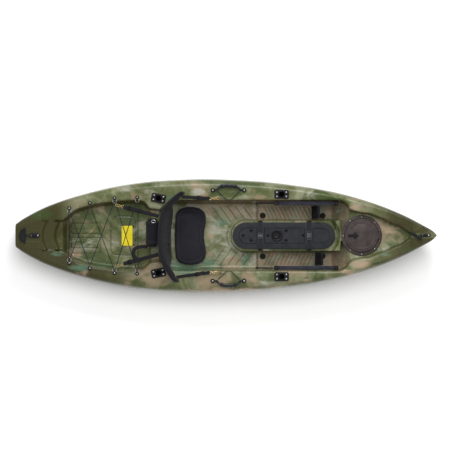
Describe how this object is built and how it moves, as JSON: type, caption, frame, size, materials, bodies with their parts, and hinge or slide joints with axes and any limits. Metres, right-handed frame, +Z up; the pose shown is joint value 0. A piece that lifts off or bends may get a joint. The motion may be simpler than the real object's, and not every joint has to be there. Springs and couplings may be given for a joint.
{
  "type": "sit-on-top fishing kayak",
  "caption": "Moulded sit-on-top fishing kayak with tankwell, strap-back seat, console hatch, foot braces, rod holders and a hinged bow hatch.",
  "frame": {"origin": "on the ground under the middle of the hull", "axes": "+X towards the bow, +Y to port, +Z up"},
  "size_m": [3.05, 0.8298, 0.52],
  "materials": {
    "hull_plastic": "mottled camouflage polyethylene, semi-gloss",
    "black_plastic": "moulded nylon",
    "grey_plastic": "finely textured",
    "rubber": "soft, matt",
    "cord": "braided shock cord",
    "webbing": "woven webbing",
    "seat_fabric": "woven polyester over foam",
    "label": "blank printed film",
    "steel": "bright stainless",
    "brass": "polished",
    "aluminium": "dark anodised"
  },
  "bodies": {
    "hull": {"hull": "hull_plastic", "bow_hatch_rim": "grey_plastic", "bow_hatch_seal": "rubber", "bow_hatch_hinge_pin": "steel", "console_seal": "rubber", "rod_holder_rear_port": "black_plastic", "rod_holder_rear_starboard": "black_plastic", "rod_holder_front_port": "black_plastic", "rod_holder_front_starboard": "black_plastic", "foot_rail_port": "aluminium", "foot_rail_starboard": "aluminium", "handle_pad_aft_port": "black_plastic", "handle_pad_fore_port": "black_plastic", "handle_pad_aft_starboard": "black_plastic", "handle_pad_fore_starboard": "black_plastic", "paddle_keeper_port": "cord", "paddle_keeper_starboard": "cord", "bow_pad_eye": "black_plastic", "stern_pad_eye": "black_plastic", "deck_loop_aft_port": "steel", "deck_loop_middle_port": "steel", "deck_loop_fore_port": "steel", "deck_loop_aft_starboard": "steel", "deck_loop_middle_starboard": "steel", "deck_loop_fore_starboard": "steel", "cord_button_port": "black_plastic", "cord_button_starboard": "black_plastic", "bungee_cord": "cord", "deck_label": "label", "seat_pad": "seat_fabric", "seat_eye_port": "steel", "seat_eye_starboard": "steel", "front_strap_port": "webbing", "front_strap_starboard": "webbing", "front_hook_port": "brass", "front_hook_starboard": "brass", "rear_strap_port": "webbing", "rear_strap_starboard": "webbing", "rear_hook_port": "brass", "rear_hook_starboard": "brass"},
    "hatch_lid": {"bow_hatch_lid": "grey_plastic"},
    "hatch_latch": {"bow_hatch_latch": "black_plastic"},
    "console_lid": {"console_lid": "grey_plastic", "console_strap_aft": "webbing", "console_strap_fore": "webbing"},
    "console_cap": {"console_cap": "black_plastic"},
    "pedal_port": {"foot_pedal_port": "black_plastic"},
    "pedal_starboard": {"foot_pedal_starboard": "black_plastic"},
    "rod_port": {"adjuster_rod_port": "black_plastic"},
    "rod_starboard": {"adjuster_rod_starboard": "black_plastic"},
    "handle_port": {"side_handle_port": "rubber"},
    "handle_starboard": {"side_handle_starboard": "rubber"},
    "bow_toggle": {"bow_toggle": "black_plastic"},
    "stern_toggle": {"stern_toggle": "black_plastic"},
    "backrest": {"seat_back": "seat_fabric", "seat_bag": "seat_fabric"},
    "plug_aft_port": {"scupper_plug_aft_port": "black_plastic"},
    "plug_fore_port": {"scupper_plug_fore_port": "black_plastic"},
    "plug_aft_starboard": {"scupper_plug_aft_starboard": "black_plastic"},
    "plug_fore_starboard": {"scupper_plug_fore_starboard": "black_plastic"}
  },
  "joints": [
    {"name": "bow_hatch_hinge", "type": "hinge", "parent": "hull", "child": "hatch_lid", "pos_m": [1.117, 0, 0.307], "axis": [0, 1, 0], "range_deg": [0, 110]},
    {"name": "bow_hatch_latch_turn", "type": "hinge", "parent": "hatch_lid", "child": "hatch_latch", "pos_m": [0.938, 0, 0.315], "axis": [0, 0, 1], "range_deg": [0, 90]},
    {"name": "console_lid_lift", "type": "slide", "parent": "hull", "child": "console_lid", "axis": [0, 0, 1], "range_m": [0, 0.15]},
    {"name": "console_cap_turn", "type": "hinge", "parent": "console_lid", "child": "console_cap", "pos_m": [0.373, 0, 0.24], "axis": [0, 0, 1], "continuous": true},
    {"name": "pedal_slide_port", "type": "slide", "parent": "hull", "child": "pedal_port", "axis": [1, 0, 0], "range_m": [-0.24, 0.08]},
    {"name": "pedal_slide_starboard", "type": "slide", "parent": "hull", "child": "pedal_starboard", "axis": [1, 0, 0], "range_m": [-0.264, 0.056]},
    {"name": "rod_twist_port", "type": "hinge", "parent": "pedal_port", "child": "rod_port", "pos_m": [0.3, 0.234, 0.283], "axis": [1, 0, 0], "range_deg": [0, 45]},
    {"name": "rod_twist_starboard", "type": "hinge", "parent": "pedal_starboard", "child": "rod_starboard", "pos_m": [0.3, -0.234, 0.283], "axis": [1, 0, 0], "range_deg": [0, 45]},
    {"name": "handle_swing_port", "type": "hinge", "parent": "hull", "child": "handle_port", "pos_m": [0.02, 0.329, 0.3329], "axis": [1, 0, 0], "range_deg": [0, 90]},
    {"name": "handle_swing_starboard", "type": "hinge", "parent": "hull", "child": "handle_starboard", "pos_m": [0.02, -0.329, 0.3329], "axis": [-1, 0, 0], "range_deg": [0, 90]},
    {"name": "bow_toggle_swing", "type": "hinge", "parent": "hull", "child": "bow_toggle", "pos_m": [1.4295, 0, 0.41], "axis": [0, 1, 0], "range_deg": [0, 90]},
    {"name": "stern_toggle_swing", "type": "hinge", "parent": "hull", "child": "stern_toggle", "pos_m": [-1.4015, 0, 0.3304], "axis": [0, 1, 0], "range_deg": [0, 90]},
    {"name": "backrest_tilt", "type": "hinge", "parent": "hull", "child": "backrest", "pos_m": [-0.43, 0, 0.15], "axis": [0, 1, 0], "range_deg": [-10, 10], "deforming": ["front_strap_port", "front_strap_starboard", "rear_strap_port", "rear_strap_starboard"]},
    {"name": "plug_lift_aft_port", "type": "slide", "parent": "hull", "child": "plug_aft_port", "axis": [0, 0, 1], "range_m": [0, 0.05]},
    {"name": "plug_lift_fore_port", "type": "slide", "parent": "hull", "child": "plug_fore_port", "axis": [0, 0, 1], "range_m": [0, 0.05]},
    {"name": "plug_lift_aft_starboard", "type": "slide", "parent": "hull", "child": "plug_aft_starboard", "axis": [0, 0, 1], "range_m": [0, 0.05]},
    {"name": "plug_lift_fore_starboard", "type": "slide", "parent": "hull", "child": "plug_fore_starboard", "axis": [0, 0, 1], "range_m": [0, 0.05]}
  ]
}
